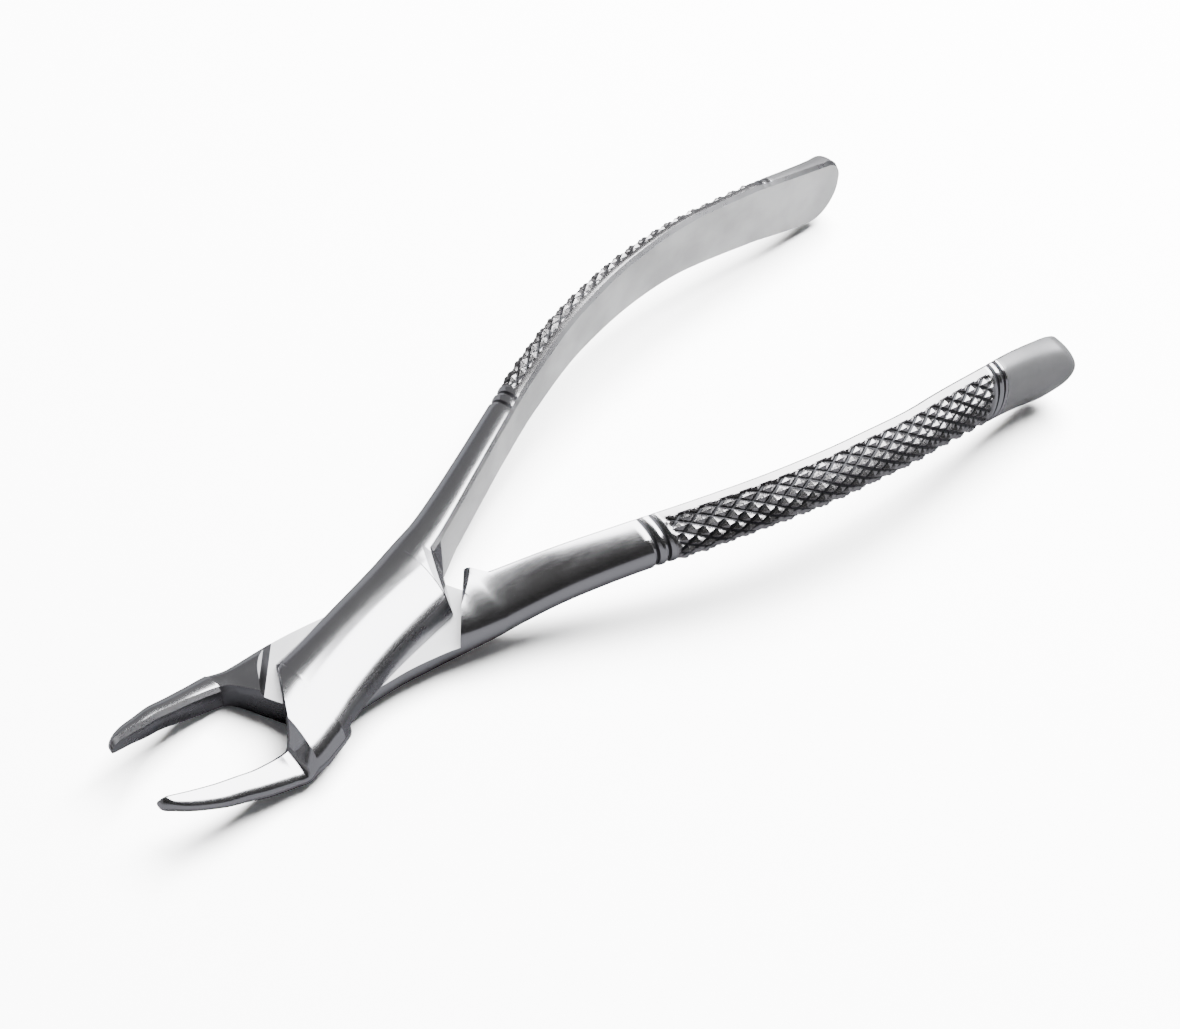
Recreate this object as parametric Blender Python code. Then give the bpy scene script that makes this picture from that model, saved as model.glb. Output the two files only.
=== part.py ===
"""Dental extraction forceps: two lap-jointed steel halves turning on one pivot screw.

Frame: Z is the hinge axis, +X points to the handle ends, -X to the beaks.
Each half is a loft of cross-sections along X. The upper half has its handle on +Y and its beak
on -Y. The lower half is the same design mirrored in Y, with its lap plate underneath.
All design values are millimetres.
"""
import math

import bmesh
import bpy

MM = 0.001

# Joint
LAP_Z = 5.94            # height of the plane between the two lap plates
LAP_GAP = 0.3           # clearance between the plates
SHOULDER_ANGLE = 48.25  # angle of a half's own shoulder walls to X, as stored
PLATE_ANGLE = 62.75     # angle of a half's plate ends to X, as stored

# Pivot screw
HEAD_R = 4.2
HEAD_H = 2.0
SHANK_R = 2.5
SHANK_END = 8.6
BORE_CLEAR = 0.08
SEAT_GAP = 0.32
THREAD_CLEAR = 0.05
SPANNER_HOLE_R = 0.6
SPANNER_HOLE_AT = 2.4
ROUND_STEPS = 64

# Loft resolution
ARC_STEPS = 12          # columns over the top of a section, and as many underneath
KNURL_COLUMNS = ARC_STEPS // 2
END_ANGLE = math.radians(90.0 / 13.0)
EDGE_BREAK = 0.45

# Knurl and grooves on the outer side of each handle
KNURL_FROM = 46.0
KNURL_ROWS = 38
KNURL_PITCH = 1.71
KNURL_PEAK = 0.28
KNURL_VALLEY = -0.38
GROOVES = (42.4, 44.2, 112.8, 114.4)
GROOVE_HALF_WIDTH = 0.55
GROOVE_DEPTH = 0.4

TIP_X = -42.2
END_X = 133.8
TOP_CORNER_R = 4.0
LOW_CORNER_R = 8.0

# Stations along X: (x, inner face y, thickness, top z, underside z)
HANDLE = (
    (14.0, 3.0, 8.8, 12.2, 1.1),
    (18.0, 4.4, 8.1, 12.8, 2.3),
    (22.0, 6.0, 7.6, 13.7, 3.5),
    (30.0, 9.4, 6.9, 15.7, 5.8),
    (40.0, 13.8, 6.3, 17.7, 8.1),
    (50.0, 18.0, 5.9, 19.4, 9.7),
    (65.0, 23.1, 5.3, 21.1, 10.8),
    (80.0, 26.3, 4.8, 21.8, 10.4),
    (95.0, 27.8, 4.3, 21.2, 8.6),
    (110.0, 27.8, 4.2, 19.4, 5.6),
    (120.0, 27.5, 4.6, 17.5, 3.3),
    (128.0, 27.6, 5.3, 15.6, 1.3),
    (133.8, 28.0, 6.1, 14.1, 0.0),
)
BEAK = (
    (-42.2, -5.8, 1.3, 11.6, 7.9),
    (-39.0, -6.5, 2.6, 10.4, 6.5),
    (-36.0, -7.0, 3.2, 9.3, 5.1),
    (-33.0, -7.5, 3.6, 8.4, 3.9),
    (-30.0, -7.7, 3.8, 7.4, 2.6),
    (-27.0, -7.9, 4.1, 6.4, 1.3),
    (-24.0, -7.8, 4.6, 5.6, 0.4),
    (-22.0, -7.6, 5.0, 5.1, 0.0),
)
# Joint block: crest, handle-side outline and beak-side outline, as (x, y)
CREST = ((-22.0, -7.6), (-18.0, -5.6), (-12.0, -2.6), (0.0, 0.8), (8.0, 2.2), (14.0, 3.0), (18.0, 4.4))
UPPER = {
    "mirror": 1.0,
    "reach": 1.0,           # length of its handle from the knurl on, against the design curve
    "shoulder_at": 15.7,    # distance of this half's shoulder walls from the hinge axis
    "plate_at": 13.9,       # distance of its plate ends from the hinge axis, at middle height
    "lean": 1.3,            # how far its crotch wall leans back from there to the top
    "handle": ((-22.0, 4.0), (-13.0, 5.7), (-8.0, 6.6), (0.0, 8.5), (8.0, 10.4), (14.0, 11.8), (18.0, 12.5)),
    "beak": ((-22.0, -12.7), (-19.0, -13.2), (-14.0, -12.0), (-8.0, -9.7), (0.0, -7.3), (8.0, -5.6), (18.0, -3.8)),
}
LOWER = {
    "mirror": -1.0,
    "reach": 0.975,
    "shoulder_at": 14.7,
    "plate_at": 15.4,
    "lean": 0.0,
    "handle": ((-22.0, 4.0), (-13.0, 5.4), (-8.0, 6.1), (0.0, 7.3), (8.0, 8.4), (14.0, 10.4), (18.0, 12.3)),
    "beak": ((-22.0, -12.4), (-19.0, -10.9), (-14.0, -9.9), (-8.0, -9.2), (0.0, -7.9), (8.0, -6.0), (18.0, -3.8)),
}
BLOCK_TOP = (
    (-22.0, 5.1), (-21.0, 5.6), (-20.2, 6.9), (-19.4, 9.0), (-18.8, 9.9),
    (-14.0, 10.2), (0.0, 11.1), (10.0, 11.8), (18.0, 12.8),
)
BLOCK_UNDER = (
    (-22.0, 0.0), (-20.0, -0.4), (-16.0, -0.7), (4.0, -0.7), (9.0, -0.3), (13.0, 0.8), (18.0, 2.3),
)
SQUARENESS = ((-24.0, 2.0), (-14.0, 2.5), (10.0, 2.5), (26.0, 2.1))
HOLLOW = ((-42.2, 0.0), (-38.0, 0.35), (-30.0, 0.6), (-24.0, 0.5), (-21.0, 0.0))


def spline(table, x):
    """Smooth curve through (x, value) pairs, with no overshoot between them."""
    if x <= table[0][0]:
        return table[0][1]
    if x >= table[-1][0]:
        return table[-1][1]
    slopes = []
    for k in range(len(table) - 1):
        slopes.append((table[k + 1][1] - table[k][1]) / (table[k + 1][0] - table[k][0]))
    k = 0
    while table[k + 1][0] < x:
        k += 1
    tangents = []
    for j in (k, k + 1):
        left = slopes[max(j - 1, 0)]
        right = slopes[min(j, len(slopes) - 1)]
        tangents.append(0.0 if left * right <= 0.0 else 2.0 * left * right / (left + right))
    span = table[k + 1][0] - table[k][0]
    t = (x - table[k][0]) / span
    low = table[k][1] * (1 + 2 * t) * (1 - t) ** 2 + tangents[0] * span * t * (1 - t) ** 2
    return low + table[k + 1][1] * t * t * (3 - 2 * t) + tangents[1] * span * t * t * (t - 1)


def column(stations, index):
    return tuple((row[0], row[index]) for row in stations)


def ended(x, corner, radius):
    """How far a corner of this radius has turned in at x."""
    run = x - (corner - radius)
    if run <= 0.0:
        return 0.0
    return radius - math.sqrt(max(radius * radius - run * run, 0.0))


def line_y(x, angle, distance):
    """Y at x of the line with this angle to X, at this distance from the hinge axis."""
    a = math.radians(angle)
    return (math.sin(a) * x - distance) / math.cos(a)


def soft_max(a, b, blend):
    h = max(blend - abs(a - b), 0.0) / blend
    return max(a, b) + h * h * blend / 4.0


def profile(x, half):
    """The design values of the cross-section at x, for a half with its handle on +Y."""
    if x > 18.0:
        inner = spline(column(HANDLE, 1), x)
        thick = spline(column(HANDLE, 2), x) - 0.45 * ended(x, END_X, 3.0)
        top_inner = min(inner, line_y(x, PLATE_ANGLE, half["plate_at"] - half["lean"]))
        under_inner = min(inner, line_y(x, PLATE_ANGLE, half["plate_at"] + half["lean"]))
        return {
            "crest": inner, "low": -4.0, "high": inner + thick,
            "top_cuts": (top_inner, 1e3), "under_cuts": (under_inner, 1e3),
            "top": spline(column(HANDLE, 3), x) - ended(x, END_X, TOP_CORNER_R),
            "under": spline(column(HANDLE, 4), x) + ended(x, END_X, LOW_CORNER_R),
        }
    if x < -22.0:
        inner = spline(column(BEAK, 1), x)
        top_tip = ended(-x, -TIP_X, 2.0)
        under_tip = ended(-x, -TIP_X, 0.8)
        return {
            "crest": inner, "low": inner - spline(column(BEAK, 2), x) + 0.4 * under_tip, "high": 4.0,
            "top_cuts": (-1e3, inner), "under_cuts": (-1e3, inner),
            "top": spline(column(BEAK, 3), x) - top_tip, "under": spline(column(BEAK, 4), x) + under_tip,
        }
    inner = spline(column(HANDLE, 1), x)
    throat = soft_max(line_y(x, PLATE_ANGLE, -half["plate_at"]), -7.6, 3.0)
    return {
        "crest": spline(CREST, x), "low": spline(half["beak"], x), "high": spline(half["handle"], x),
        "top_cuts": (min(line_y(x, PLATE_ANGLE, half["plate_at"] - half["lean"]), inner), throat),
        "under_cuts": (min(line_y(x, PLATE_ANGLE, half["plate_at"] + half["lean"]), inner), throat),
        "top": spline(BLOCK_TOP, x), "under": spline(BLOCK_UNDER, x),
    }


def angle_at(p, y, power):
    """Arc angle of the section's outline at y, kept just inside its round edges."""
    reach = y - p["crest"]
    width = max(p["high"] - p["crest"] if reach > 0.0 else p["crest"] - p["low"], 0.1)
    c = math.copysign(min(abs(reach) / width, 1.0) ** (power / 2.0), reach)
    return min(max(math.acos(c), END_ANGLE), math.pi - END_ANGLE)


def point_at(p, angle, power, side):
    """Point on the top (side 1) or underside (side -1) of the section."""
    c = math.cos(angle)
    width = p["high"] - p["crest"] if c > 0.0 else p["crest"] - p["low"]
    y = p["crest"] + math.copysign(width * abs(c) ** (2.0 / power), c)
    middle = (p["top"] + p["under"]) / 2.0
    z = middle + side * (p["top"] - middle) * math.sin(angle) ** (2.0 / power)
    return [y, max(z, 0.0)]


def edge(p, cut_y, inward, power, side):
    """Y of one side of an arc, and of the arc's own end once that edge is broken."""
    y, z = point_at(p, angle_at(p, cut_y, power), power, side)
    height = abs(z - (p["top"] + p["under"]) / 2.0)
    return y, y + inward * min(EDGE_BREAK, 0.44 * height)


def arc(p, steps, power, side, low_y, high_y):
    """Points from low_y to high_y over the top or underneath."""
    first = angle_at(p, low_y, power)
    last = angle_at(p, high_y, power)
    return [point_at(p, first + (last - first) * k / steps, power, side) for k in range(steps + 1)]


def wall(top_y, under_y, top, under, hollow):
    """Three points down a side wall, between the arc ends above and below it."""
    high = (top_y, top[1] - abs(top[0] - top_y))
    low = (under_y, under[1] + abs(under[0] - under_y))
    return [high, ((top_y + under_y) / 2.0 + hollow, (high[1] + low[1]) / 2.0), low]


def groove_depth(x):
    nearest = min(abs(x - g) for g in GROOVES)
    return GROOVE_DEPTH * max(1.0 - nearest / GROOVE_HALF_WIDTH, 0.0)


def smooth_section(x, half):
    p = profile(x, half)
    power = spline(SQUARENESS, x)
    dip = groove_depth(x)
    if dip > 0.0:
        p["high"] -= dip
        p["top"] -= dip
        p["under"] += dip
    top_low, top_first = edge(p, p["top_cuts"][0], 1.0, 2.0, 1)
    top_high, top_last = edge(p, p["top_cuts"][1], -1.0, 2.0, 1)
    under_low, under_first = edge(p, p["under_cuts"][0], 1.0, power, -1)
    under_high, under_last = edge(p, p["under_cuts"][1], -1.0, power, -1)
    over = arc(p, ARC_STEPS, 2.0, 1, top_first, top_last)
    below = arc(p, ARC_STEPS, power, -1, under_first, under_last)
    hollow = spline(HOLLOW, x) if x < -21.0 else 0.0
    low_wall = wall(top_low, under_low, over[0], below[0], 0.0)
    high_wall = wall(top_high, under_high, over[-1], below[-1], -hollow)
    loop = list(reversed(low_wall)) + over + high_wall + list(reversed(below))
    return [(x, q[0], q[1]) for q in loop]


def knurl_lift(row, col):
    """Height of the diamond pattern at one node of its half-pitch grid."""
    if row in (0, KNURL_ROWS) or col in (0, 1, 2 * KNURL_COLUMNS, 2 * KNURL_COLUMNS + 1):
        return 0.0
    return KNURL_PEAK if (row + col) % 2 == 0 else KNURL_VALLEY


def knurl_section(row, half):
    x = KNURL_FROM + row * KNURL_PITCH
    p = profile(x, half)
    low_y, first_y = edge(p, p["top_cuts"][0], 1.0, 2.0, 1)
    over = arc(p, KNURL_COLUMNS, 2.0, 1, first_y, 1e3)
    below = arc(p, KNURL_COLUMNS, 2.0, -1, first_y, 1e3)
    low_wall = wall(low_y, low_y, over[0], below[0], 0.0)
    middle = (p["top"] + p["under"]) / 2.0
    outer = over + list(reversed(below))
    for col, q in enumerate(outer):
        out_y = (q[0] - p["crest"]) / (p["high"] - p["crest"])
        out_z = (q[1] - middle) / (p["top"] - middle)
        size = max(math.hypot(out_y, out_z), 1e-6)
        lift = knurl_lift(row, col)
        q[0] += lift * out_y / size
        q[1] += lift * out_z / size
    return [(x, q[0], q[1]) for q in list(reversed(low_wall)) + outer]


def stations():
    """X of every smooth section before and after the knurl."""
    beak = [TIP_X, -42.0, -41.7, -41.3] + [-40.6 + 1.4 * k for k in range(12)]
    root = [-24.0, -23.0, -22.3] + [-21.8 + 0.4 * k for k in range(9)]
    block = [-18.2 + 0.7 * k for k in range(10)] + [-11.0 + 1.5 * k for k in range(16)]
    crotch = [12.4 + 0.6 * k for k in range(11)]
    shank = [19.0, 20.0, 22.0, 24.5, 27.0, 30.0, 33.0, 36.0, 39.0, 41.4]
    ring = []
    for g in GROOVES:
        ring += [g - GROOVE_HALF_WIDTH, g, g + GROOVE_HALF_WIDTH]
    paddle = [116.5, 119.0, 122.0, 125.0, 127.5, 129.5, 131.0, 132.0, 132.8, 133.4, 133.7]
    before = beak + root + block + crotch + shank + ring[:6]
    return before, ring[6:] + paddle


def bridge(bm, fine, coarse, pairs):
    """Faces between a full section and a knurled one, fine index chains to coarse intervals."""
    for chain, (a, b) in pairs:
        half = len(chain) // 2
        for k in range(len(chain) - 1):
            near = coarse[a] if k < half else coarse[b]
            bm.faces.new((fine[chain[k]], fine[chain[k + 1]], near))
        bm.faces.new((fine[chain[half]], coarse[b], coarse[a]))


def bridge_pairs():
    size = 2 * (ARC_STEPS + 1) + 6
    first = 3
    turn = first + ARC_STEPS
    back = turn + 4
    pairs = [([0, 1], (0, 1)), ([1, 2], (1, 2)), ([2, 3], (2, 3))]
    for k in range(KNURL_COLUMNS):
        f = first + 2 * k
        pairs.append(([f, f + 1, f + 2], (3 + k, 4 + k)))
    c = 3 + KNURL_COLUMNS
    pairs.append((list(range(turn, back + 1)), (c, c + 1)))
    for k in range(KNURL_COLUMNS):
        f = back + 2 * k
        pairs.append(([f, f + 1, f + 2], (c + 1 + k, c + 2 + k)))
    pairs.append(([size - 1, 0], (2 * KNURL_COLUMNS + 4, 0)))
    return pairs


def skin(bm, rows):
    for a, b in zip(rows, rows[1:]):
        for k in range(len(a)):
            j = (k + 1) % len(a)
            bm.faces.new((a[k], a[j], b[j], b[k]))


def knurl_skin(bm, rows):
    """Quads split along the valley lines, so every diamond is a clean pyramid."""
    for row in range(len(rows) - 1):
        a = rows[row]
        b = rows[row + 1]
        for k in range(len(a)):
            j = (k + 1) % len(a)
            if (row + k - 3) % 2 == 0:
                bm.faces.new((a[k], a[j], b[k]))
                bm.faces.new((a[j], b[j], b[k]))
            else:
                bm.faces.new((a[k], a[j], b[j]))
                bm.faces.new((a[k], b[j], b[k]))


def add_object(name, bm, collection):
    mesh = bpy.data.meshes.new(name)
    bm.to_mesh(mesh)
    bm.free()
    obj = bpy.data.objects.new(name, mesh)
    collection.objects.link(obj)
    return obj


def make_half(name, half, collection):
    bm = bmesh.new()
    before, after = stations()

    def row(points):
        ahead = max(points[0][0] - KNURL_FROM, 0.0) * (half["reach"] - 1.0)
        return [bm.verts.new(((x + ahead) * MM, half["mirror"] * y * MM, z * MM)) for x, y, z in points]

    front = [row(smooth_section(x, half)) for x in before]
    knurl = [row(knurl_section(k, half)) for k in range(KNURL_ROWS + 1)]
    back = [row(smooth_section(x, half)) for x in after]
    skin(bm, front)
    bridge(bm, front[-1], knurl[0], bridge_pairs())
    knurl_skin(bm, knurl)
    bridge(bm, back[0], knurl[-1], bridge_pairs())
    skin(bm, back)
    bm.faces.new(front[0])
    bm.faces.new(back[-1])
    bmesh.ops.recalc_face_normals(bm, faces=bm.faces)
    return add_object(name, bm, collection)


def slab(name, angle, half_width, z_from, z_to, collection):
    """A long box across the joint, its long sides at this angle to X."""
    bm = bmesh.new()
    bmesh.ops.create_cube(bm, size=1.0)
    for v in bm.verts:
        v.co.x *= 120.0 * MM
        v.co.y *= 2.0 * half_width * MM
        v.co.z = (z_from if v.co.z < 0 else z_to) * MM
    obj = add_object(name, bm, collection)
    obj.rotation_euler[2] = math.radians(angle)
    return obj


def cylinder(name, radius, z_from, z_to, collection, x=0.0):
    bm = bmesh.new()
    bmesh.ops.create_cone(bm, cap_ends=True, segments=ROUND_STEPS, radius1=radius * MM,
                          radius2=radius * MM, depth=(z_to - z_from) * MM)
    for v in bm.verts:
        v.co.x += x * MM
        v.co.z += (z_from + z_to) / 2.0 * MM
    return add_object(name, bm, collection)


def turned(name, outline, collection):
    """A solid of revolution about Z from (radius, z) points listed top to bottom."""
    bm = bmesh.new()
    rings = []
    for r, z in outline:
        turns = [2.0 * math.pi * k / ROUND_STEPS for k in range(ROUND_STEPS)]
        rings.append([bm.verts.new((r * MM * math.cos(a), r * MM * math.sin(a), z * MM)) for a in turns])
    skin(bm, rings)
    bm.faces.new(rings[0])
    bm.faces.new(rings[-1])
    bmesh.ops.recalc_face_normals(bm, faces=bm.faces)
    return add_object(name, bm, collection)


def cut(target, cutter):
    modifier = target.modifiers.new("cut_" + cutter.name, "BOOLEAN")
    modifier.operation = "DIFFERENCE"
    modifier.solver = "EXACT"
    modifier.object = cutter
    cutter.hide_render = True
    cutter.display_type = "WIRE"


def steel(name, colour, roughness):
    material = bpy.data.materials.new(name)
    material.use_nodes = True
    shader = material.node_tree.nodes["Principled BSDF"]
    shader.inputs["Base Color"].default_value = (*colour, 1.0)
    shader.inputs["Metallic"].default_value = 1.0
    shader.inputs["Roughness"].default_value = roughness
    return material


def collection_named(name):
    group = bpy.data.collections.new(name)
    bpy.context.scene.collection.children.link(group)
    return group


def build():
    for obj in list(bpy.data.objects):
        bpy.data.objects.remove(obj)
    parts = collection_named("dental_extraction_forceps")
    cutters = collection_named("cutters")

    polished = steel("polished_steel", (0.63, 0.64, 0.66), 0.18)
    turned_steel = steel("screw_steel", (0.55, 0.56, 0.58), 0.3)

    upper = make_half("upper_half", UPPER, parts)
    lower = make_half("lower_half", LOWER, parts)
    upper_slot = slab("upper_lap_slot", -SHOULDER_ANGLE, UPPER["shoulder_at"], -5.0, LAP_Z + LAP_GAP / 2.0, cutters)
    lower_slot = slab("lower_lap_slot", SHOULDER_ANGLE, LOWER["shoulder_at"], LAP_Z - LAP_GAP / 2.0, 25.0, cutters)
    cut(upper, upper_slot)
    cut(lower, lower_slot)

    bore = cylinder("pivot_bore", SHANK_R + BORE_CLEAR, 1.0, 12.0, cutters)
    seat = cylinder("head_seat", HEAD_R + SEAT_GAP, -3.0, HEAD_H + SEAT_GAP, cutters)
    thread = cylinder("thread_hole", SHANK_R + THREAD_CLEAR, -3.0, SHANK_END + SEAT_GAP, cutters)
    cut(lower, bore)
    cut(lower, seat)
    cut(upper, thread)

    screw = turned("pivot_screw", (
        (SHANK_R - 0.5, SHANK_END), (SHANK_R, SHANK_END - 0.5),
        (SHANK_R, HEAD_H), (HEAD_R, HEAD_H), (HEAD_R, 0.3), (HEAD_R - 0.3, 0.0),
    ), parts)
    for side in (-1.0, 1.0):
        name = "spanner_hole_low" if side < 0 else "spanner_hole_high"
        cut(screw, cylinder(name, SPANNER_HOLE_R, -1.0, 1.2, cutters, side * SPANNER_HOLE_AT))

    upper.data.materials.append(polished)
    lower.data.materials.append(polished)
    screw.data.materials.append(turned_steel)


build()
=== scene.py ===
import math

import bmesh
import bpy
from mathutils import Matrix, Vector


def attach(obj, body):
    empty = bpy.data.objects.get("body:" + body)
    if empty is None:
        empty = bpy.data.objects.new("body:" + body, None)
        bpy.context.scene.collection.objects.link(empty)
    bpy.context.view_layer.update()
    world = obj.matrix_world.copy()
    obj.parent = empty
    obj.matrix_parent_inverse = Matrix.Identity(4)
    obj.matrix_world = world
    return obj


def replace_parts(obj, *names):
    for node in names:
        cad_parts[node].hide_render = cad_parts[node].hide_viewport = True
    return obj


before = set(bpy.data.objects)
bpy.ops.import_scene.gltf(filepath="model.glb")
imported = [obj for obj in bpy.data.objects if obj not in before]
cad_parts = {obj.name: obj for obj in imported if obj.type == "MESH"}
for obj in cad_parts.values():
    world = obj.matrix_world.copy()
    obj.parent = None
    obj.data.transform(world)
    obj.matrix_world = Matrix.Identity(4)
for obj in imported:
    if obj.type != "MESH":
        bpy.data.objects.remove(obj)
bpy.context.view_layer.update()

MM = 0.001

# ---------------------------------------------------------------- design values, millimetres
LAP_Z = 5.94
LAP_GAP = 0.12
SHOULDER_ANGLE = 48.25
PLATE_ANGLE = 62.75
HEAD_R = 4.5
SHANK_R = 2.58

ARC = 39                 # steps over the top of a section, and as many underneath
LOW_WALL = 9             # nodes down the inner side
WALL = 5                 # nodes down the outer side
SUB = 6                  # mesh steps per half pitch of the knurl
END_ANGLE = math.radians(2.5)
EDGE_BREAK = 0.65

KNURL_FROM = 45.1
KNURL_CELLS = 39
KNURL_PITCH = 1.70
KNURL_PEAK = 0.30
KNURL_VALLEY = 0.42
VALLEY_BELOW = 0.34      # faces lower than this part of the pattern's height count as valley and get painted shade
GROOVES = (42.3, 44.1, 112.7, 114.4)
GROOVE_HALF_WIDTH = 0.7
GROOVE_DEPTH = 0.45
GROOVE_AT_EDGE = 0.15     # share of that depth where a groove runs out over the inner edges

TIP_X = -42.2
BLOCK_X = -22.0          # where the beak joins the block of the joint
SHANK_X = 18.0           # where the block ends and the handle starts
END_X = 133.8
HIDDEN_SIDE = 4.0        # how far a section reaches on the side that its flat face cuts off
NO_CUT = 1e3
KNURL_END = KNURL_FROM + KNURL_CELLS * KNURL_PITCH
GROOVE_SHADE = 0.28       # half width of the painted shade line at the bottom of a groove
PAINTED_SHADE_NODES = 7         # nodes over the block's near edge in the darker beak steel: painted shade
SHARP_ANGLE = 24.0       # degrees
STEP_FOOT, STEP_FOOT_SLOPE, STEP_BLEND = 5.1, 0.1, 1.2

# (x, inner face y, thickness, top z, underside z)
HANDLE = (
    (14.0, 3.0, 8.8, 12.2, 1.1), (18.0, 4.4, 8.1, 12.8, 2.3), (22.0, 6.0, 7.6, 13.7, 3.5),
    (30.0, 9.4, 6.9, 15.7, 5.8), (40.0, 13.8, 6.4, 17.7, 8.1), (50.0, 18.0, 6.2, 19.4, 9.6),
    (65.0, 23.1, 5.7, 21.1, 10.6), (80.0, 26.3, 5.2, 21.7, 10.2), (95.0, 27.8, 4.7, 21.2, 8.4),
    (110.0, 27.8, 4.6, 19.4, 5.5), (120.0, 27.5, 4.9, 17.5, 3.2), (128.0, 27.6, 5.4, 15.6, 1.3),
    (133.8, 28.0, 6.1, 14.1, 0.0),
)
BEAK = (
    (-42.2, -5.8, 1.3, 11.6, 7.9), (-39.0, -6.5, 2.6, 10.4, 6.5), (-36.0, -7.0, 3.2, 9.3, 5.1),
    (-33.0, -7.5, 3.6, 8.4, 3.9), (-30.0, -7.7, 3.8, 7.4, 2.6), (-27.0, -7.9, 4.1, 6.4, 1.3),
    (-24.0, -7.8, 4.6, 5.6, 0.4), (-22.0, -7.6, 5.0, 5.1, 0.0),
)
CREST = ((-22.0, -7.6), (-18.0, -5.6), (-12.0, -2.6), (0.0, 0.8), (8.0, 2.2), (14.0, 3.0), (18.0, 4.4))
UPPER = {
    "mirror": 1.0, "shoulder_at": 15.7, "plate_at": 14.4,
    "lean": 1.7, "slope": 0.6, "step": True, "reach": 1.0,
    "handle": (
        (-22.0, 4.0), (-13.0, 5.7), (-8.0, 6.6), (0.0, 8.5), (8.0, 10.4), (14.0, 11.8), (18.0, 12.5),
    ),
    "beak": (
        (-22.0, -12.7), (-19.0, -13.2), (-14.0, -12.0), (-8.0, -9.7),
        (0.0, -7.3), (8.0, -5.6), (18.0, -3.8),
    ),
    "top": (
        (-22.0, 9.2), (-18.9, 9.6), (-14.0, 10.2), (0.0, 11.1), (10.0, 11.8), (14.0, 12.2), (18.0, 12.8),
    ),
}
LOWER = {
    "mirror": -1.0, "shoulder_at": 14.7, "plate_at": 15.4,
    "lean": 0.0, "slope": 2.8, "step": False, "reach": 0.965,
    "handle": (
        (-22.0, 4.0), (-13.0, 8.1), (-8.0, 8.1), (0.0, 8.3), (8.0, 9.4), (14.0, 11.2), (18.0, 12.5),
    ),
    "beak": (
        (-22.0, -12.4), (-19.0, -10.9), (-14.0, -9.9), (-8.0, -9.2),
        (0.0, -7.9), (8.0, -6.0), (18.0, -3.8),
    ),
    "top": (
        (-22.0, 5.1), (-20.0, 6.0), (-18.0, 7.1), (-16.0, 8.1), (-14.0, 8.9),
        (-8.0, 10.3), (0.0, 11.1), (10.0, 11.8), (14.0, 12.2), (18.0, 12.8),
    ),
}
BLOCK_UNDER = (
    (-22.0, 0.0), (-20.0, -0.4), (-16.0, -0.7), (4.0, -0.7), (9.0, -0.3), (13.0, 0.8), (18.0, 2.3),
)
TOP_SQUARENESS = ((100.0, 2.0), (118.0, 2.6))
SQUARENESS = ((-24.0, 2.0), (-14.0, 2.5), (10.0, 2.5), (26.0, 2.1))
HOLLOW = ((-42.2, 0.0), (-38.0, 0.35), (-30.0, 0.7), (-24.0, 0.6), (-21.0, 0.0))

STEP_X, STEP_TOP, STEP_SLOPE = -18.9, 9.6, 2.6      # where the upper block's top ends and drops to the beak

POLISHED, INNER, KNURLED, PADDLE, MATING, BEAK_FACE_AND_SHADE, VALLEY_SHADE = range(7)


# ---------------------------------------------------------------- curves and sections
def spline(table, x):
    """Smooth curve through (x, value) pairs, with no overshoot between them."""
    if x <= table[0][0]:
        return table[0][1]
    if x >= table[-1][0]:
        return table[-1][1]
    slopes = [(b[1] - a[1]) / (b[0] - a[0]) for a, b in zip(table, table[1:])]
    k = 0
    while table[k + 1][0] < x:
        k += 1
    tangents = []
    for j in (k, k + 1):
        left = slopes[max(j - 1, 0)]
        right = slopes[min(j, len(slopes) - 1)]
        tangents.append(0.0 if left * right <= 0.0 else 2.0 * left * right / (left + right))
    span = table[k + 1][0] - table[k][0]
    t = (x - table[k][0]) / span
    low = table[k][1] * (1 + 2 * t) * (1 - t) ** 2 + tangents[0] * span * t * (1 - t) ** 2
    return low + table[k + 1][1] * t * t * (3 - 2 * t) + tangents[1] * span * t * t * (t - 1)


def column(stations, index):
    return tuple((row[0], row[index]) for row in stations)


def ended(x, corner, radius):
    """How far an outline draws in at x to round off its end at the corner."""
    run = x - (corner - radius)
    if run <= 0.0:
        return 0.0
    return radius - math.sqrt(max(radius * radius - run * run, 0.0))


def line_y(x, distance):
    """Y at x on the line of the lap plate's side, at this distance from the hinge axis."""
    a = math.radians(PLATE_ANGLE)
    return (math.sin(a) * x - distance) / math.cos(a)


def soft_max(a, b, blend):
    h = max(blend - abs(a - b), 0.0) / blend
    return max(a, b) + h * h * blend / 4.0


def smooth_step(t):
    t = min(max(t, 0.0), 1.0)
    return t * t * (3.0 - 2.0 * t)


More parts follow.
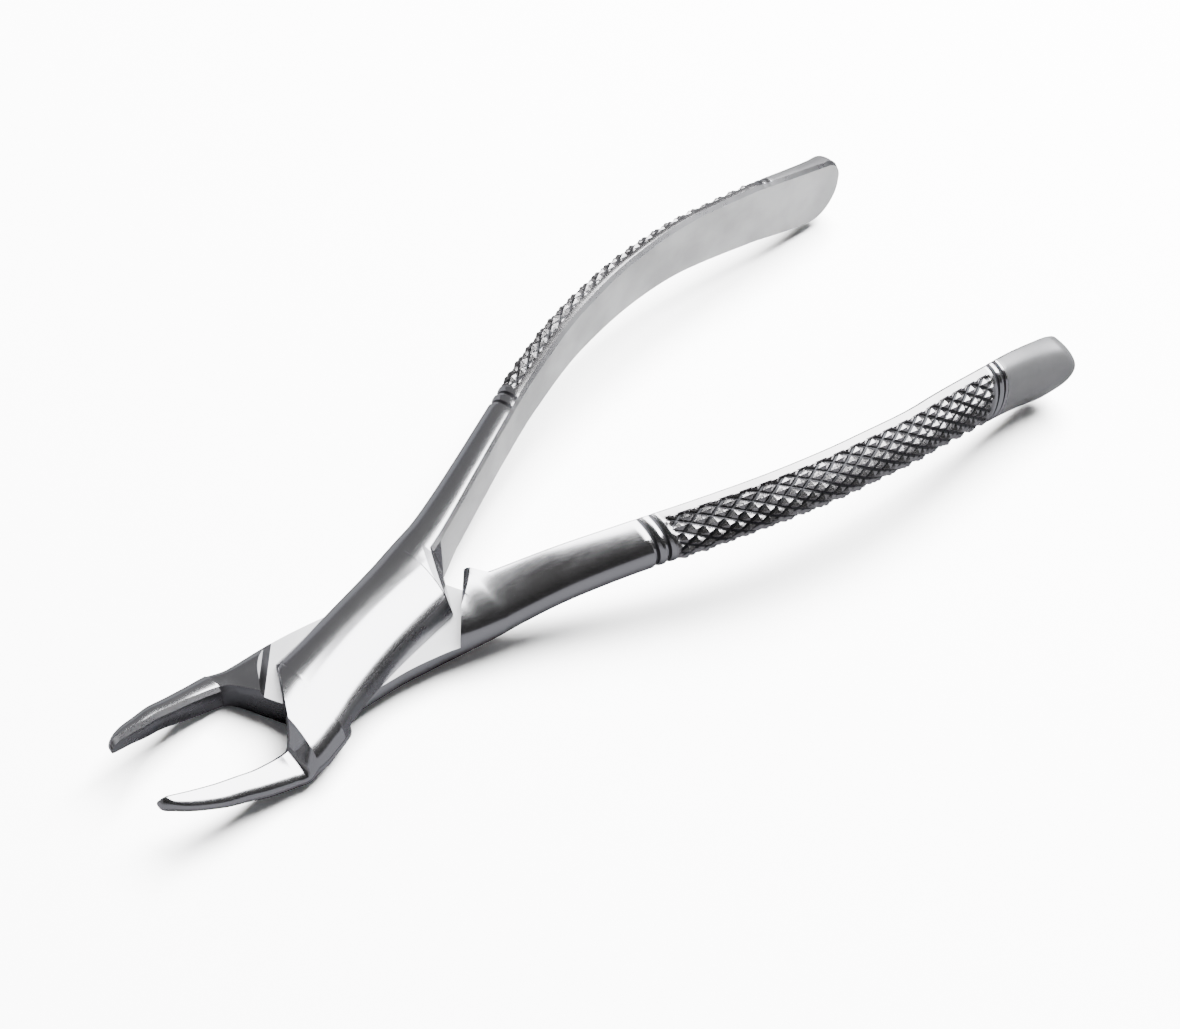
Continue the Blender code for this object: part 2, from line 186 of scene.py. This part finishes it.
def profile(x, half):
    """Design values of the cross-section at x, for a half with its handle on +Y."""
    if x < BLOCK_X:
        inner = spline(column(BEAK, 1), x)
        under_tip = ended(-x, -TIP_X, 0.8)
        return {
            "crest": inner, "low": inner - spline(column(BEAK, 2), x) + 0.4 * under_tip,
            "high": HIDDEN_SIDE, "low_cut": lambda z: -NO_CUT, "high_cut": lambda z: inner,
            "top": spline(column(BEAK, 3), x) - ended(-x, -TIP_X, 2.0),
            "under": spline(column(BEAK, 4), x) + under_tip,
        }
    inner = spline(column(HANDLE, 1), x)
    slope = half["slope"] * (1.0 - smooth_step((x - SHANK_X) / 6.0))
    at = half["plate_at"]
    lean = half["lean"]

    def low_cut(z):
        down = min(max((12.8 - z) / 6.9, 0.0), 1.0)
        wall = inner - slope * down
        if x > 22.0:
            return wall
        return min(wall, line_y(x, at - lean * (1.0 - down)))

    if x > SHANK_X:
        thick = spline(column(HANDLE, 2), x) - 0.45 * ended(x, END_X, 3.0)
        return {
            "crest": inner, "low": -HIDDEN_SIDE, "high": inner + thick,
            "low_cut": low_cut, "high_cut": lambda z: NO_CUT,
            "top": spline(column(HANDLE, 3), x) - ended(x, END_X, 4.0),
            "under": spline(column(HANDLE, 4), x) + ended(x, END_X, 8.0),
        }
    throat = soft_max(line_y(x, -at), -7.6, 3.0)
    top = spline(half["top"], x)
    if half["step"] and x < STEP_X:
        drop = STEP_TOP + STEP_SLOPE * (x - STEP_X)
        top = min(top, soft_max(drop, STEP_FOOT + STEP_FOOT_SLOPE * (x - BLOCK_X), STEP_BLEND))
    return {
        "crest": spline(CREST, x), "low": spline(half["beak"], x), "high": spline(half["handle"], x),
        "low_cut": low_cut, "high_cut": lambda z: throat,
        "top": top, "under": spline(BLOCK_UNDER, x),
    }


def angle_at(p, y, power):
    reach = y - p["crest"]
    width = max(p["high"] - p["crest"] if reach > 0.0 else p["crest"] - p["low"], 0.1)
    c = math.copysign(min(abs(reach) / width, 1.0) ** (power / 2.0), reach)
    return min(max(math.acos(c), END_ANGLE), math.pi - END_ANGLE)


def point_at(p, angle, power, face):
    c = math.cos(angle)
    width = p["high"] - p["crest"] if c > 0.0 else p["crest"] - p["low"]
    y = p["crest"] + math.copysign(width * abs(c) ** (2.0 / power), c)
    middle = (p["top"] + p["under"]) / 2.0
    z = middle + face * (p["top"] - middle) * abs(math.sin(angle)) ** (2.0 / power)
    return [y, max(z, 0.0)]


def side_y(p, z, power, inward):
    """Where the rounded side of the section lies at height z."""
    middle = (p["top"] + p["under"]) / 2.0
    height = max(p["top"] - middle, 0.1)
    width = p["crest"] - p["low"] if inward > 0.0 else p["high"] - p["crest"]
    pw = p["top_power"] if z > middle else power
    left = max(1.0 - min(abs(z - middle) / height, 1.0) ** pw, 0.0)
    return p["crest"] - inward * width * left ** (1.0 / pw)


def side(p, power, cut, inward, hollow, count):
    """Arc ends on the top and underneath, and the nodes down the wall between them."""
    middle = (p["top"] + p["under"]) / 2.0
    ends = []
    for face, pw in ((1, p["top_power"]), (-1, power)):
        z = p["top"] if face > 0 else p["under"]
        for _ in range(8):
            angle = angle_at(p, cut(z), pw)
            y, z = point_at(p, angle, pw, face)
        rounded = not END_ANGLE < angle < math.pi - END_ANGLE
        size = 0.0 if rounded else min(EDGE_BREAK, 0.44 * abs(z - middle))
        angle = angle_at(p, y + inward * size, pw)
        end = point_at(p, angle, pw, face)
        ends.append((angle, y, end[1] - face * size, rounded))
    nodes = []
    round_side = ends[0][3] and ends[1][3]
    for k in range(count):
        t = (k + 1.0) / (count + 1.0) if round_side else k / (count - 1.0)
        if round_side:
            swing = END_ANGLE * (1.0 - 2.0 * t)
            base = math.pi - swing if inward > 0 else swing
            nodes.append(point_at(p, base, p["top_power"] if swing > 0 else power, 1 if swing > 0 else -1))
            continue
        z = ends[0][2] + (ends[1][2] - ends[0][2]) * t
        y = cut(z) + inward * hollow * (1.0 - (2.0 * t - 1.0) ** 2)
        edge = side_y(p, z, power, inward)
        nodes.append([max(y, edge) if inward > 0.0 else min(y, edge), z])
    return ends[0][0], ends[1][0], nodes


def even_out(points, share):
    """Moves the nodes of a path towards equal spacing along it, by this share."""
    marks = [0.0]
    for a, b in zip(points, points[1:]):
        marks.append(marks[-1] + math.hypot(b[0] - a[0], b[1] - a[1]))
    moved, j = [points[0]], 0
    for k in range(1, len(points) - 1):
        at = marks[k] + (marks[-1] * k / (len(points) - 1.0) - marks[k]) * share
        while marks[j + 1] < at:
            j += 1
        t = (at - marks[j]) / max(marks[j + 1] - marks[j], 1e-9)
        moved.append([points[j][i] + (points[j + 1][i] - points[j][i]) * t for i in (0, 1)])
    return moved + [points[-1]]


def section(x, half):
    p = profile(x, half)
    power = spline(SQUARENESS, x)
    p["top_power"] = spline(TOP_SQUARENESS, x)
    nearest = min(abs(x - g) for g in GROOVES) / GROOVE_HALF_WIDTH
    if nearest < 1.0:
        dip = GROOVE_DEPTH * (1.0 - nearest ** 1.5)
        p["high"] -= dip
        p["top"] -= dip * GROOVE_AT_EDGE
        p["under"] += dip * GROOVE_AT_EDGE
    hollow = spline(HOLLOW, x) if x < -21.0 else 0.0
    low_top, low_under, low_nodes = side(p, power, p["low_cut"], 1.0, 0.0, LOW_WALL)
    high_top, high_under, high_nodes = side(p, power, p["high_cut"], -1.0, hollow, WALL)
    over = [point_at(p, low_top + (high_top - low_top) * k / ARC, p["top_power"], 1) for k in range(ARC + 1)]
    below = [point_at(p, low_under + (high_under - low_under) * k / ARC, power, -1) for k in range(ARC + 1)]
    outside = over + high_nodes + list(reversed(below))
    if x > 24.0:
        outside = even_out(outside, smooth_step((x - 24.0) / 16.0))
    loop = list(reversed(low_nodes)) + outside
    return p, [(x, q[0], q[1]) for q in loop]


def jitter(i, j):
    """A repeatable number from -1 to 1 for one knurl diamond."""
    s = math.sin(i * 127.1 + j * 311.7) * 43758.5453
    return 2.0 * (s - math.floor(s)) - 1.0


def knurl_height(u, v):
    """Height of the diamond pattern at (u, v) half pitches, from 0 in a valley to 1 on a peak."""
    p = (u + v) / 2.0
    q = (u - v) / 2.0
    i, j = round(p), round(q)
    h = 1.0 - 2.0 * max(abs(p - i), abs(q - j))
    h = min(max(h * 1.15 - 0.1, 0.0), 0.96)
    return h * (1.0 + 0.12 * jitter(i, j))


def knurl_section(row, half):
    """A section with the diamond pattern standing on its outer side, and each node's height."""
    u = row / SUB
    x = KNURL_FROM + u * KNURL_PITCH
    p, loop = section(x, half)
    middle = (p["top"] + p["under"]) / 2.0
    outer = len(loop) - LOW_WALL
    points, heights = [], []
    for k, (px, y, z) in enumerate(loop):
        v = (k - LOW_WALL) / SUB
        if k < LOW_WALL:
            points.append((px, y, z))
            heights.append(1.0)
            continue
        edge = min(v, (outer - 1) / SUB - v)
        mask = min(max((edge - 1.0) * 3.0, 0.0), 1.0) * min(max(min(u, KNURL_CELLS - u) * 2.0, 0.0), 1.0)
        h = knurl_height(u, v)
        lift = mask * (h * (KNURL_PEAK + KNURL_VALLEY) - KNURL_VALLEY)
        oy = (y - p["crest"]) / (p["high"] - p["crest"])
        oz = (z - middle) / (p["top"] - middle)
        size = max(math.hypot(oy, oz), 1e-6)
        points.append((px, y + lift * oy / size, z + lift * oz / size))
        heights.append(h if mask > 0.5 else 1.0)
    return points, heights


def spread(start, end, step):
    count = max(int(round((end - start) / step)), 1)
    return [start + (end - start) * k / count for k in range(count)]


def stations():
    """Where along X the plain sections stand, before the knurl and after it."""
    before = spread(TIP_X, -40.2, 0.1) + spread(-40.2, -24.0, 0.6)
    before += spread(-24.0, STEP_X, 0.17) + spread(STEP_X, -17.0, 0.18)
    before += spread(-17.0, -12.0, 0.3) + spread(-12.0, 11.0, 0.6) + spread(11.0, 19.6, 0.14)
    before += spread(19.6, 24.0, 0.4) + spread(24.0, 41.6, 0.8)
    before += spread(41.6, 44.9, 0.14) + spread(44.9, KNURL_FROM - 0.05, 0.1)
    after = spread(KNURL_END + 0.2, 115.1, 0.14)
    after += spread(115.1, 128.0, 0.7) + spread(128.0, 132.6, 0.3) + spread(132.6, 133.72, 0.07)
    return before, after + [133.75]


def face_kind(k, x):
    """Material of the strip between loop nodes k and k + 1 near x."""
    # below x 18.6 the inner side wall of the block and beak is the darker beak steel: painted shade
    if k < LOW_WALL - 1:
        return INNER if x > 18.6 else BEAK_FACE_AND_SHADE
    # painted shade: a dark band over the block's near edge
    if k < LOW_WALL + PAINTED_SHADE_NODES and -13.0 < x < 16.0:
        return BEAK_FACE_AND_SHADE
    # the beaks' inner faces are the darker beak steel: painted shade in their tone, their own rougher finish
    # in the grain
    if LOW_WALL + ARC <= k <= LOW_WALL + ARC + WALL and x < -12.0:
        return BEAK_FACE_AND_SHADE
    # painted shade: the chamfers along the handles' inner edges are the darker beak steel
    if k == LOW_WALL - 1 or k == LOW_WALL + WALL + 2 * ARC + 1:
        return BEAK_FACE_AND_SHADE if x > 16.0 else POLISHED
    # painted shade along the bottom of each groove
    if min(abs(x - g) for g in GROOVES) < GROOVE_SHADE:
        return VALLEY_SHADE
    if KNURL_FROM - 0.2 < x < KNURL_END:
        return KNURLED
    return PADDLE if x > 115.0 else POLISHED


# ---------------------------------------------------------------- mesh building
def skin(bm, a, b, x, heights=None):
    """Joins two rings of vertices. heights are the knurl's heights at their nodes, where it has any."""
    for k in range(len(a)):
        j = (k + 1) % len(a)
        kind = face_kind(k, x)
        if not heights:
            bm.faces.new((a[k], a[j], b[j], b[k])).material_index = kind
            continue
        low, high = heights
        quad = ((a[k], low[k]), (a[j], low[j]), (b[j], high[j]), (b[k], high[k]))
        if low[k] + high[j] < low[j] + high[k]:
            triangles = ((0, 1, 2), (0, 2, 3))
        else:
            triangles = ((0, 1, 3), (1, 2, 3))
        for corners in triangles:
            # knurl faces deep in the pattern get the painted shade
            deep = kind == KNURLED and max(quad[c][1] for c in corners) < VALLEY_BELOW
            bm.faces.new([quad[c][0] for c in corners]).material_index = VALLEY_SHADE if deep else kind


def finish_mesh(name, bm, materials=()):
    bmesh.ops.recalc_face_normals(bm, faces=bm.faces)
    mesh = bpy.data.meshes.new(name)
    bm.to_mesh(mesh)
    bm.free()
    for material in materials:
        mesh.materials.append(material)
    obj = bpy.data.objects.new(name, mesh)
    bpy.context.scene.collection.objects.link(obj)
    return obj


def loft_half(name, half, materials):
    """One forging from beak tip to handle end, before the joint is cut."""
    bm = bmesh.new()
    before, after = stations()

    def ring(points):
        ahead = max(points[0][0] - KNURL_FROM, 0.0) * (half["reach"] - 1.0)
        return [bm.verts.new(((x + ahead) * MM, half["mirror"] * y * MM, z * MM)) for x, y, z in points]

    front = [(x, ring(section(x, half)[1])) for x in before]
    rows = []
    for r in range(KNURL_CELLS * SUB + 1):
        points, heights = knurl_section(r, half)
        rows.append((points[0][0], ring(points), heights))
    back = [(x, ring(section(x, half)[1])) for x in after]
    for (xa, a), (xb, b) in zip(front, front[1:]):
        skin(bm, a, b, (xa + xb) / 2.0)
    skin(bm, front[-1][1], rows[0][1], KNURL_FROM - 0.3)
    for (xa, a, ha), (xb, b, hb) in zip(rows, rows[1:]):
        skin(bm, a, b, (xa + xb) / 2.0, (ha, hb))
    skin(bm, rows[-1][1], back[0][1], back[0][0])
    for (xa, a), (xb, b) in zip(back, back[1:]):
        skin(bm, a, b, (xa + xb) / 2.0)
    bm.faces.new(front[0][1])
    bm.faces.new(back[-1][1])
    return finish_mesh(name, bm, materials)


def prism(name, outline, angle, materials, kinds):
    """A long bar across the joint with this (across, z) outline, its length at this angle to X.

    kinds gives the material that each side of the bar leaves in the steel, some of them painted shade.
    """
    bm = bmesh.new()
    ends = []
    for along in (-60.0, 60.0):
        ends.append([bm.verts.new((along * MM, n * MM, z * MM)) for n, z in outline])
    for k in range(len(outline)):
        j = (k + 1) % len(outline)
        bm.faces.new((ends[0][k], ends[0][j], ends[1][j], ends[1][k])).material_index = kinds[k]
    bm.faces.new(ends[0])
    bm.faces.new(ends[1])
    obj = finish_mesh(name, bm, materials)
    obj.rotation_euler[2] = math.radians(angle)
    return obj


def cylinder(name, radius, z_from, z_to, material):
    bm = bmesh.new()
    bmesh.ops.create_cone(bm, cap_ends=True, segments=96, radius1=radius * MM, radius2=radius * MM,
                          depth=(z_to - z_from) * MM)
    for v in bm.verts:
        v.co.z += (z_from + z_to) / 2.0 * MM
    return finish_mesh(name, bm, [material])


def carve(obj, cutters):
    """Cuts the cutters out of obj for good, and removes them."""
    for cutter in cutters:
        modifier = obj.modifiers.new("cut", "BOOLEAN")
        modifier.operation = "DIFFERENCE"
        modifier.solver = "EXACT"
        modifier.material_mode = "TRANSFER"
        modifier.object = cutter
    graph = bpy.context.evaluated_depsgraph_get()
    graph.update()
    mesh = bpy.data.meshes.new_from_object(obj.evaluated_get(graph))
    obj.modifiers.clear()
    obj.data = mesh
    for cutter in cutters:
        bpy.data.objects.remove(cutter)
    mesh.polygons.foreach_set("use_smooth", [True] * len(mesh.polygons))
    mesh.set_sharp_from_angle(angle=math.radians(SHARP_ANGLE))


# ---------------------------------------------------------------- materials
def node(tree, kind, **values):
    made = tree.nodes.new(kind)
    for key, value in values.items():
        setattr(made, key, value)
    return made


def noise(tree, place, scale, detail):
    made = node(tree, "ShaderNodeTexNoise")
    made.inputs["Scale"].default_value = scale
    made.inputs["Detail"].default_value = detail
    tree.links.new(place, made.inputs["Vector"])
    return made


def steel(name, colour, rough, rough_swing, bump, grain, dirt=0.0, metallic=1.0):
    """Worn stainless steel: grain is the scale of the polishing lines along each axis."""
    material = bpy.data.materials.new(name)
    material.use_nodes = True
    tree = material.node_tree
    shader = tree.nodes["Principled BSDF"]
    shader.inputs["Metallic"].default_value = metallic
    coords = node(tree, "ShaderNodeTexCoord")
    lines_map = node(tree, "ShaderNodeMapping")
    lines_map.inputs["Scale"].default_value = grain
    tree.links.new(coords.outputs["Object"], lines_map.inputs["Vector"])
    lines = noise(tree, lines_map.outputs["Vector"], 1.0, 6.0)
    lines.inputs["Roughness"].default_value = 0.65
    cloud = noise(tree, coords.outputs["Object"], 90.0, 5.0)
    speck = noise(tree, coords.outputs["Object"], 1400.0, 3.0)

    mix = node(tree, "ShaderNodeMath", operation="MULTIPLY_ADD")
    tree.links.new(lines.outputs["Fac"], mix.inputs[0])
    mix.inputs[1].default_value = 0.5
    half = node(tree, "ShaderNodeMath", operation="MULTIPLY")
    tree.links.new(cloud.outputs["Fac"], half.inputs[0])
    half.inputs[1].default_value = 0.5
    tree.links.new(half.outputs[0], mix.inputs[2])
    ramp = node(tree, "ShaderNodeMapRange")
    ramp.inputs["From Min"].default_value = 0.32
    ramp.inputs["From Max"].default_value = 0.68
    ramp.inputs["To Min"].default_value = rough - rough_swing
    ramp.inputs["To Max"].default_value = rough + rough_swing
    tree.links.new(mix.outputs[0], ramp.inputs["Value"])
    tree.links.new(ramp.outputs["Result"], shader.inputs["Roughness"])

    tint = node(tree, "ShaderNodeMix", data_type="RGBA")
    tint.inputs[6].default_value = (*[c * (1.0 - dirt) for c in colour], 1.0)
    tint.inputs[7].default_value = (*colour, 1.0)
    shade = node(tree, "ShaderNodeMapRange")
    shade.inputs["From Min"].default_value = 0.38
    shade.inputs["From Max"].default_value = 0.58
    tree.links.new(cloud.outputs["Fac"], shade.inputs["Value"])
    tree.links.new(shade.outputs["Result"], tint.inputs[0])
    tree.links.new(tint.outputs[2], shader.inputs["Base Color"])

    height = node(tree, "ShaderNodeMath", operation="MULTIPLY_ADD")
    tree.links.new(speck.outputs["Fac"], height.inputs[0])
    height.inputs[1].default_value = 0.35
    tree.links.new(lines.outputs["Fac"], height.inputs[2])
    relief = node(tree, "ShaderNodeBump")
    relief.inputs["Strength"].default_value = bump
    relief.inputs["Distance"].default_value = 0.00005
    tree.links.new(height.outputs[0], relief.inputs["Height"])
    tree.links.new(relief.outputs["Normal"], shader.inputs["Normal"])
    return material


def plain(name, colour):
    material = bpy.data.materials.new(name)
    material.use_nodes = True
    shader = material.node_tree.nodes["Principled BSDF"]
    shader.inputs["Base Color"].default_value = (*colour, 1.0)
    shader.inputs["Roughness"].default_value = 0.9
    shader.inputs["Specular IOR Level"].default_value = 0.1
    return material


polished = steel("polished_steel", (0.66, 0.66, 0.68), 0.17, 0.03, 0.02, (60, 900, 900), 0.04)
inner = steel("satin_inner", (0.30, 0.30, 0.305), 0.40, 0.07, 0.35, (90, 1500, 1500), 0.24, 0.5)
knurled = steel("knurled_steel", (0.50, 0.49, 0.50), 0.24, 0.06, 0.25, (400, 400, 400), 0.15)
paddle = steel("satin_paddle", (0.24, 0.24, 0.25), 0.34, 0.05, 0.30, (90, 1500, 1500), 0.12, 0.9)
mating = steel("ground_lap_face", (0.35, 0.35, 0.36), 0.36, 0.06, 0.40, (900, 900, 60), 0.10, 0.75)
# darker steel: its dark tone is painted shade on the block's cut walls, the slot walls, the near edge band,
# the inner edge chamfers and the beaks' faces; its rougher grain is the beak faces' own finish
beak_face_and_shade_steel = steel("beak_hollow_and_painted_shade", (0.30, 0.30, 0.315), 0.28, 0.04, 0.02, (300, 300, 900), 0.12)
# near-black steel, painted shade: in the knurl's creases, along the bottoms of the grooves and on one wall
# of the lower slot; in the creases it also stands for some grime
valley = steel("knurl_valley_painted_shade", (0.06, 0.06, 0.065), 0.38, 0.08, 0.30, (400, 400, 400), 0.30)
screw = steel("screw_steel", (0.60, 0.60, 0.62), 0.25, 0.05, 0.3, (700, 700, 700), 0.08)
STEEL_MATERIALS = (polished, inner, knurled, paddle, mating, beak_face_and_shade_steel, valley)

# ---------------------------------------------------------------- the two halves
upper = loft_half("upper_half_forging", UPPER, STEEL_MATERIALS)
s = UPPER["shoulder_at"]
ceiling = LAP_Z + LAP_GAP / 2
carve(upper, [
    # the slot's walls are the darker beak steel: painted shade
    prism("upper_slot", ((-s, -9.0), (s, -9.0), (s, ceiling), (-s, ceiling)),
          -SHOULDER_ANGLE, (mating, beak_face_and_shade_steel), (1, 1, 0, 1)),
    cylinder("thread_hole", SHANK_R, -5.0, 9.0, mating),
])
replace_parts(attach(upper, "upper_body"), "upper_half")

lower = loft_half("lower_half_forging", LOWER, STEEL_MATERIALS)
s = LOWER["shoulder_at"]
base = LAP_Z - LAP_GAP / 2
carve(lower, [
    # one wall of the slot is the near-black steel, a painted shadow, and one flare is the darker beak steel,
    # painted shade
    prism("lower_slot", ((-s, base), (s, base), (s + 0.9, 7.4), (s + 9.0, 15.5), (s + 9.0, 40.0),
                         (-s - 8.0, 40.0), (-s - 8.0, 22.0), (-s, 11.4)),
          SHOULDER_ANGLE, (mating, beak_face_and_shade_steel, valley), (0, 2, 0, 0, 0, 0, 1, 0)),
    cylinder("shank_bore", SHANK_R, -5.0, 12.0, mating),
    cylinder("head_seat", HEAD_R, -5.0, 2.32, mating),
])
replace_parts(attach(lower, "lower_body"), "lower_half")

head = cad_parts["pivot_screw"]
head.data.materials.clear()
head.data.materials.append(screw)

# ---------------------------------------------------------------- floor, light, camera
def panel(name, size, place, aim, material):
    """A flat rectangle facing a point."""
    bm = bmesh.new()
    bmesh.ops.create_grid(bm, x_segments=1, y_segments=1, size=0.5)
    obj = finish_mesh(name, bm, [material])
    way = Vector(aim) - Vector(place)
    turn = way.to_track_quat("Z", "Y").to_matrix().to_4x4()
    obj.matrix_world = Matrix.Translation(place) @ turn @ Matrix.Diagonal((size[0], size[1], 1.0, 1.0))
    return obj


def floor_paper():
    """Matt white paper. In the steel's reflections it is the dim room around the sheet."""
    material = plain("floor_paper", (0.93, 0.93, 0.93))
    tree = material.node_tree
    seen = tree.nodes["Principled BSDF"]
    dim = node(tree, "ShaderNodeBsdfDiffuse")
    dim.inputs["Color"].default_value = (0.03, 0.03, 0.032, 1.0)
    place = node(tree, "ShaderNodeNewGeometry")
    away = node(tree, "ShaderNodeVectorMath", operation="LENGTH")
    tree.links.new(place.outputs["Position"], away.inputs[0])
    glow = node(tree, "ShaderNodeMapRange")
    glow.inputs["From Min"].default_value = 0.35
    glow.inputs["From Max"].default_value = 1.2
    glow.inputs["To Max"].default_value = 9.0
    tree.links.new(away.outputs["Value"], glow.inputs["Value"])
    seen.inputs["Emission Color"].default_value = (1.0, 1.0, 1.0, 1.0)
    tree.links.new(glow.outputs["Result"], seen.inputs["Emission Strength"])
    path = node(tree, "ShaderNodeLightPath")
    pick = node(tree, "ShaderNodeMixShader")
    tree.links.new(path.outputs["Is Glossy Ray"], pick.inputs[0])
    tree.links.new(seen.outputs[0], pick.inputs[1])
    tree.links.new(dim.outputs[0], pick.inputs[2])
    tree.links.new(pick.outputs[0], tree.nodes["Material Output"].inputs["Surface"])
    return material


panel("floor", (6.0, 6.0), (0.0, 0.0, -0.0003), (0.0, 0.0, 1.0), floor_paper())
black = plain("black_card", (0.003, 0.003, 0.003))
for card, size, place in (
    ("card_high", (0.9, 1.25), (-0.42, -0.48, 0.62)),
    ("card_low", (1.6, 0.5), (0.1, -0.85, 0.24)),
):
    flag = panel(card, size, place, (0.0, 0.0, 0.0), black)
    flag.visible_camera = flag.visible_shadow = flag.visible_diffuse = False


def softbox(name, size, place, power, aim):
    data = bpy.data.lights.new(name, "AREA")
    data.shape = "RECTANGLE"
    data.size, data.size_y = size
    data.energy = power
    obj = bpy.data.objects.new(name, data)
    bpy.context.scene.collection.objects.link(obj)
    obj.location = place
    way = Vector(aim) - Vector(place)
    obj.rotation_euler = way.to_track_quat("-Z", "Y").to_euler()
    return obj


# These three make the white bands in the steel and light nothing matt.
for name, size, x, y, power in (
    ("shine_light", (1.51, 1.25), 0.745, -0.175, 67.0),
    ("shine_fill", (0.30, 0.46), 0.02, 0.50, 5.0),
    ("shine_back", (0.70, 0.75), 0.95, 0.83, 19.0),
):
    softbox(name, size, (x, y, 0.80), power, (x, y, 0.0)).visible_diffuse = False
key = softbox("key_light", (0.7, 0.7), (0.45, 0.10, 0.85), 150.0, (0.045, 0.0, 0.0))
key.visible_glossy = False

world = bpy.data.worlds.new("studio")
world.use_nodes = True
dim_room = world.node_tree.nodes["Background"]
dim_room.inputs["Color"].default_value = (0.17, 0.17, 0.175, 1.0)
pale_wall = node(world.node_tree, "ShaderNodeBackground")
pale_wall.inputs["Color"].default_value = (1.0, 1.0, 1.0, 1.0)
pale_wall.inputs["Strength"].default_value = 8.0
world_path = node(world.node_tree, "ShaderNodeLightPath")
world_pick = node(world.node_tree, "ShaderNodeMixShader")
world.node_tree.links.new(world_path.outputs["Is Camera Ray"], world_pick.inputs[0])
world.node_tree.links.new(dim_room.outputs[0], world_pick.inputs[1])
world.node_tree.links.new(pale_wall.outputs[0], world_pick.inputs[2])
world.node_tree.links.new(world_pick.outputs[0], world.node_tree.nodes["World Output"].inputs["Surface"])
bpy.context.scene.world = world

CAMERA_PLACE = (-0.11104, -0.16243, 0.27045)
AZIMUTH, ELEVATION, ROLL = (math.radians(a) for a in (-44.17, 49.89, -3.65))
flat_right = Vector((math.cos(AZIMUTH), math.sin(AZIMUTH), 0.0))
flat_up = Vector((-math.sin(AZIMUTH) * math.sin(ELEVATION), math.cos(AZIMUTH) * math.sin(ELEVATION),
                  math.cos(ELEVATION)))
back = Vector((math.sin(AZIMUTH) * math.cos(ELEVATION), -math.cos(AZIMUTH) * math.cos(ELEVATION),
               math.sin(ELEVATION)))
right = math.cos(ROLL) * flat_right - math.sin(ROLL) * flat_up
up = math.sin(ROLL) * flat_right + math.cos(ROLL) * flat_up
lens = bpy.data.cameras.new("camera")
lens.lens = 64.05
lens.sensor_width = 36.0
lens.sensor_fit = "HORIZONTAL"
lens.clip_start = 0.01
camera = bpy.data.objects.new("camera", lens)
bpy.context.scene.collection.objects.link(camera)
turn = Matrix((right, up, back)).transposed().to_4x4()
camera.matrix_world = Matrix.Translation(CAMERA_PLACE) @ turn
bpy.context.scene.camera = camera
